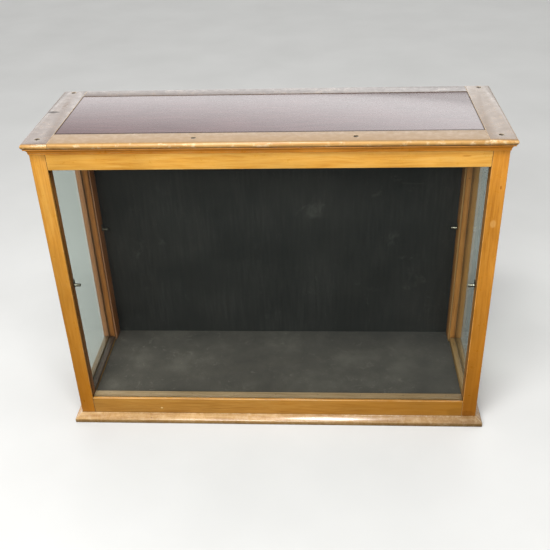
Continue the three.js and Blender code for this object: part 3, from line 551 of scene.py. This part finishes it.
def top():
    """The top: golden varnish is left on the nosing, and the upper faces are sun-paled grey, with a painted
    sheen of the bright wall that they reflect laid into that grey. The iron screws have stained the wood
    round them."""
    rust = []
    for screw in [n for n in BODY_OF if n.startswith("top_screw_")]:
        low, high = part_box(screw)
        centre = ((low[0] + high[0]) / 2 / MM, (low[1] + high[1]) / 2 / MM, 684.0)
        rust.append((centre, (5.5, 5.5, 9), "#2a1d14", 0.95))
    # The panel's end, front and back edges. Its front seam is drawn farther in, because the panel is set
    # down half a millimetre behind the front board.
    end, front, back = 408.6, -105.0, 112.7
    stiles = {
        "left": ("#5a4b42", [((-446, 17, 685), (15, 6, 2), "#1d140f", 0.75),
                             ((-432, 60, 685), (6, 22, 2), "#6c5c50", 0.4)]),
        "right": ("#675646", [((449, -40, 685), (3, 9, 2), "#b39f86", 0.3)]),
    }
    # The upper faces take a grey colour: real sun-paling, with a painted sheen of the bright wall.
    for side, (bleach_and_light_colour, dents) in stiles.items():
        way = -1 if side == "left" else 1
        stains = [m for m in rust if m[0][0] * way > end]
        shaped("top_stile_" + side, timber("bleached_pine_painted_sheen_stile_" + side, "y", gloss=0.3, battered=0.45,
                                           bleach_and_painted_light=(UP, bleach_and_light_colour, 0.98), marks=dents + stains, **NOSING),
               arris_mm=0.4)
    stains = [m for m in rust if abs(m[0][0]) < end]
    # The boards' upper faces also turn grey: sun-paling, with a painted sheen of the bright wall.
    shaped("top_board_front", timber("bleached_pine_painted_sheen_front_board", "x", gloss=0.38, coat=0.15, battered=0.4,
                                     bleach_and_painted_light=(UP, "#775a30", 0.94), seams=[(BACKWARD, front, 1.6)],
                                     marks=stains, **NOSING), arris_mm=0.4)
    shaped("top_board_back", timber("bleached_pine_painted_sheen_back_board", "x", gloss=0.3, bleach_and_painted_light=(UP, "#524641", 0.98),
                                    seams=[(BACKWARD, back, 1.3)], **NOSING), arris_mm=0.4)
    panel_seams = [(BACKWARD, front + 1.2, 3.2), (BACKWARD, back, 1.3), (RIGHT, 0.6 - end, 2.0),
                   (RIGHT, end - 0.6, 2.0)]
    shaped("top_panel", timber("polished_mahogany_panel", "x", gloss=0.27, ring_mm=6.0, figure=1.2,
                               bump=0.02, cloudy=0.2, seams=panel_seams, **RED), arris_mm=0.4)


def metalwork():
    """Brass hinges, knob and turn-button, browned steel screws and plated shelf pegs."""
    brass = old_metal("dull_brass", "#c8a45c", "#a8823f", "#6f5228", 0.3)
    steel = old_metal("browned_steel", "#6a6058", "#4a423b", "#2c2622", 0.4)
    plated = old_metal("nickel_plated_peg", "#c9c4b4", "#9c9586", "#5f574a", 0.25)
    for node in BODY_OF:
        if node.startswith("hinge_") or node in ("door_knob", "turn_button"):
            shaped(node, brass, arris_mm=0.25)
        if node.startswith("top_screw_") or node == "turn_button_screw":
            shaped(node, steel, arris_mm=0.15, segments=1)
        if node.startswith("shelf_peg_"):
            shaped(node, plated, arris_mm=0.2, segments=1)
    return brass, steel


def rows_of_heads(slotted):
    """A Geometry Nodes tree: heads of screws or pins, spaced along the edges that it is given."""
    tree = bpy.data.node_groups.new("rows_of_screw_heads" if slotted else "rows_of_pin_heads",
                                    "GeometryNodeTree")
    sockets = {}
    for name, kind in (("Geometry", "NodeSocketGeometry"), ("Spacing", "NodeSocketFloat"),
                       ("Head radius", "NodeSocketFloat"), ("Head height", "NodeSocketFloat"),
                       ("Facing", "NodeSocketVector"), ("Seed", "NodeSocketInt"),
                       ("Material", "NodeSocketMaterial")):
        sockets[name] = tree.interface.new_socket(name, in_out="INPUT", socket_type=kind).identifier
    tree.interface.new_socket("Geometry", in_out="OUTPUT", socket_type="NodeSocketGeometry")
    given = add(tree, "NodeGroupInput").outputs
    line = add(tree, "GeometryNodeMeshToCurve", {"Mesh": given["Geometry"]}).outputs[0]
    spots = add(tree, "GeometryNodeResampleCurve", {"Curve": line, "Length": given["Spacing"]},
                mode="LENGTH").outputs[0]
    points = add(tree, "GeometryNodeCurveToPoints", {"Curve": spots}, mode="EVALUATED").outputs["Points"]
    head = add(tree, "GeometryNodeMeshCylinder", {"Vertices": 20, "Radius": given["Head radius"],
                                                  "Depth": given["Head height"]}).outputs["Mesh"]
    if slotted:
        long = add(tree, "ShaderNodeMath", {0: given["Head radius"], 1: 3.0},
                   operation="MULTIPLY").outputs[0]
        thin = add(tree, "ShaderNodeMath", {0: given["Head radius"], 1: 0.3},
                   operation="MULTIPLY").outputs[0]
        size = add(tree, "ShaderNodeCombineXYZ", {0: long, 1: thin, 2: given["Head height"]}).outputs[0]
        blade = add(tree, "GeometryNodeMeshCube", {"Size": size}).outputs["Mesh"]
        rise = add(tree, "ShaderNodeMath", {0: given["Head height"], 1: 0.55},
                   operation="MULTIPLY").outputs[0]
        lift = add(tree, "ShaderNodeCombineXYZ", {2: rise}).outputs[0]
        lifted = add(tree, "GeometryNodeTransform", {"Geometry": blade, "Translation": lift}).outputs[0]
        head = add(tree, "GeometryNodeMeshBoolean", {0: head, 1: lifted}, operation="DIFFERENCE").outputs[0]
    placed = add(tree, "GeometryNodeInstanceOnPoints", {"Points": points, "Instance": head,
                                                        "Rotation": given["Facing"]}).outputs[0]
    turn = add(tree, "FunctionNodeRandomValue",
               {"Min": (0, 0, 0), "Max": (0, 0, math.pi), "Seed": given["Seed"]},
               data_type="FLOAT_VECTOR").outputs[0]
    turned = add(tree, "GeometryNodeRotateInstances", {"Instances": placed, "Rotation": turn,
                                                       "Local Space": True}).outputs[0]
    real = add(tree, "GeometryNodeRealizeInstances", {"Geometry": turned}).outputs[0]
    faced = add(tree, "GeometryNodeSetMaterial",
                {"Geometry": real, "Material": given["Material"]}).outputs[0]
    add(tree, "NodeGroupOutput", {0: faced})
    return tree, sockets


def heads_along(name, tools, lines_mm, spacing_mm, radius_mm, height_mm, facing, material, body,
                seed):
    """One plain mesh of heads along the given lines, riding on one body."""
    tree, sockets = tools
    mesh = bpy.data.meshes.new(name + "_lines")
    places = [Vector(p) * MM for line in lines_mm for p in line]
    mesh.from_pydata(places, [(i, i + 1) for i in range(0, len(places), 2)], [])
    host = bpy.data.objects.new(name + "_host", mesh)
    scene.collection.objects.link(host)
    rows = host.modifiers.new("Heads", "NODES")
    rows.node_group = tree
    for key, value in {"Spacing": spacing_mm * MM, "Head radius": radius_mm * MM,
                       "Head height": height_mm * MM, "Facing": facing, "Seed": seed,
                       "Material": material}.items():
        rows[sockets[key]] = value
    shown = host.evaluated_get(bpy.context.evaluated_depsgraph_get())
    plain = bpy.data.meshes.new_from_object(shown)
    plain.name = name
    plain.set_sharp_from_angle(angle=math.radians(30))
    bpy.data.objects.remove(host)
    piece = bpy.data.objects.new(name, plain)
    scene.collection.objects.link(piece)
    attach(piece, body)
    return piece


def hinge_screws(brass):
    """Three countersunk screws in each leaf, on a line down its middle."""
    tools = rows_of_heads(slotted=True)
    # A leaf's middle line lies this far from the pins, its outer face this far behind them (both in mm).
    to_middle, to_face, spacing = 12.5, -0.95, 17.0
    lines = {"carcase": [], "door": []}
    for place in ("lower", "upper"):
        for body, leaf in (("carcase", "post"), ("door", "door")):
            low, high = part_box("hinge_" + place + "_" + leaf + "_leaf")
            pin_low, pin_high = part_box("hinge_" + place + "_pin")
            side = -1 if leaf == "post" else 1
            x = (pin_low[0] + pin_high[0]) / 2 / MM + side * to_middle
            y = (pin_low[1] + pin_high[1]) / 2 / MM + to_face
            middle = (low[2] + high[2]) / 2 / MM
            lines[body].append([(x, y, middle - spacing), (x, y, middle + spacing)])
    for body, pairs in lines.items():
        heads_along("hinge_screws_" + body, tools, pairs, spacing_mm=spacing, radius_mm=2.5, height_mm=0.7,
                    facing=(-math.pi / 2, 0, 0), material=brass, body=body, seed=7)


def bead_pins(steel):
    """Panel pins driven through the beads into the rails, a hand apart: those of the bottom beads face up,
    and those of the top beads hang."""
    tools = rows_of_heads(slotted=False)
    front_margin, side_margin, proud = 35, 25, 0.05
    low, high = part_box("bead_front_bottom")
    y = (low[1] + high[1]) / 2 / MM
    ends = (low[0] / MM + front_margin, high[0] / MM - front_margin)
    under, over = high[2] / MM + proud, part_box("bead_front_top")[0][2] / MM - proud
    level, hung = [[(ends[0], y, under), (ends[1], y, under)]], [[(ends[0], y, over), (ends[1], y, over)]]
    for side in ("left", "right"):
        low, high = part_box("bead_" + side + "_bottom")
        x = (low[0] + high[0]) / 2 / MM
        reach = (low[1] / MM + side_margin, high[1] / MM - side_margin)
        level.append([(x, reach[0], under), (x, reach[1], under)])
        hung.append([(x, reach[0], over), (x, reach[1], over)])
    for name, lines, facing, seed in (("bead_pins_level", level, (0, 0, 0), 3),
                                      ("bead_pins_hung", hung, (math.pi, 0, 0), 4)):
        heads_along(name, tools, lines, spacing_mm=95.0, radius_mm=0.8, height_mm=0.5, facing=facing,
                    material=steel, body="carcase", seed=seed)


carcase_frame()
mouldings()
glazing()
floor_and_door()
top()
brass, steel = metalwork()
hinge_screws(brass)
bead_pins(steel)

# ---------------------------------------------------------------- stage, light and camera


def make_floor():
    """A plain pale floor, a hair below the feet."""
    mesh = bpy.data.meshes.new("ground")
    reach, level = 14.0, -0.3 * MM
    corners = [(-reach, -reach, level), (reach, -reach, level), (reach, reach, level), (-reach, reach, level)]
    mesh.from_pydata(corners, [], [(0, 1, 2, 3)])
    ground = bpy.data.objects.new("ground", mesh)
    scene.collection.objects.link(ground)
    material, tree = new_material("pale_floor")
    place = add(tree, "ShaderNodeTexCoord").outputs["Object"]
    cloud = add(tree, "ShaderNodeTexNoise", {"Vector": place, "Scale": 3.0, "Detail": 4.0}).outputs["Fac"]
    colour = add(tree, "ShaderNodeValToRGB", {"Fac": cloud},
                 stops=[(0.3, "#c2c2c0"), (0.7, "#c8c8c6")]).outputs["Color"]
    finish_material(tree, add(tree, "ShaderNodeBsdfPrincipled", {
        "Base Color": colour, "Roughness": 0.9, "Specular IOR Level": 0.2}).outputs[0])
    mesh.materials.append(material)
    # The floor takes no part in reflections or bounced light, as a dark one would, so the case keeps its
    # contrast on a pale floor.
    ground.visible_glossy = False
    ground.visible_diffuse = False


def make_world():
    """A soft studio: dark below, even above, and a bright wall behind that the top reflects."""
    world = bpy.data.worlds.new("studio")
    world.use_nodes = True
    tree = world.node_tree
    tree.nodes.clear()
    way = add(tree, "ShaderNodeTexCoord").outputs["Generated"]
    parts = add(tree, "ShaderNodeSeparateXYZ", {0: way})
    sky = add(tree, "ShaderNodeValToRGB", {"Fac": parts.outputs["Z"]},
              stops=[(0.0, 0.06), (0.02, 0.75), (0.45, 0.9), (1.0, 0.7)]).outputs["Color"]
    behind = add(tree, "ShaderNodeMapRange", {
        "Value": parts.outputs["Y"], "From Min": 0.2, "From Max": 0.85,
        "To Min": 0.9, "To Max": 2.8}).outputs[0]
    tinted = add(tree, "ShaderNodeVectorMath", {0: sky, "Scale": behind}, operation="SCALE").outputs[0]
    # Seen directly, the studio is as pale as the floor, so that the floor's far end doesn't show.
    seen = add(tree, "ShaderNodeLightPath").outputs["Is Camera Ray"]
    shown = add(tree, "ShaderNodeMix", {0: seen, 6: tinted, 7: linear("#dadad9")},
                data_type="RGBA").outputs[2]
    background = add(tree, "ShaderNodeBackground", {"Color": shown, "Strength": 0.85}).outputs[0]
    add(tree, "ShaderNodeOutputWorld", {"Surface": background})
    scene.world = world


def make_light(name, place, target, size, watts):
    """A soft box at place, turned to target."""
    lamp = bpy.data.lights.new(name, "AREA")
    lamp.shape = "RECTANGLE"
    lamp.size, lamp.size_y = size
    lamp.energy = watts
    holder = bpy.data.objects.new(name, lamp)
    scene.collection.objects.link(holder)
    holder.location = place
    holder.rotation_euler = (Vector(place) - Vector(target)).to_track_quat("Z", "Y").to_euler()
    holder.visible_camera = False
    return holder


def make_camera():
    """About 1.5 m in front and a little to the right, looking down by some 32 degrees."""
    data = bpy.data.cameras.new("camera")
    data.sensor_width = 36.0
    data.lens = 51.576
    data.clip_start = 0.05
    data.clip_end = 60.0
    camera = bpy.data.objects.new("camera", data)
    scene.collection.objects.link(camera)
    right = Vector((0.99816, 0.05177, -0.03162))
    up = Vector((-0.00025, 0.52480, 0.85123))
    back = Vector((0.06066, -0.84965, 0.52384))
    turn = Matrix((right, up, back)).transposed().to_4x4()
    camera.matrix_world = Matrix.Translation((0.1072, -1.5103, 1.2341)) @ turn
    scene.camera = camera


make_floor()
make_world()
make_light("ceiling", (-0.12, -0.95, 2.6), (0.0, -0.2, 0.3), (1.1, 0.35), 44.0)
make_light("front_fill", (-0.75, -2.2, 1.7), (0.0, 0.0, 0.35), (1.4, 1.0), 50.0)
make_camera()
scene.view_settings.view_transform = "Standard"
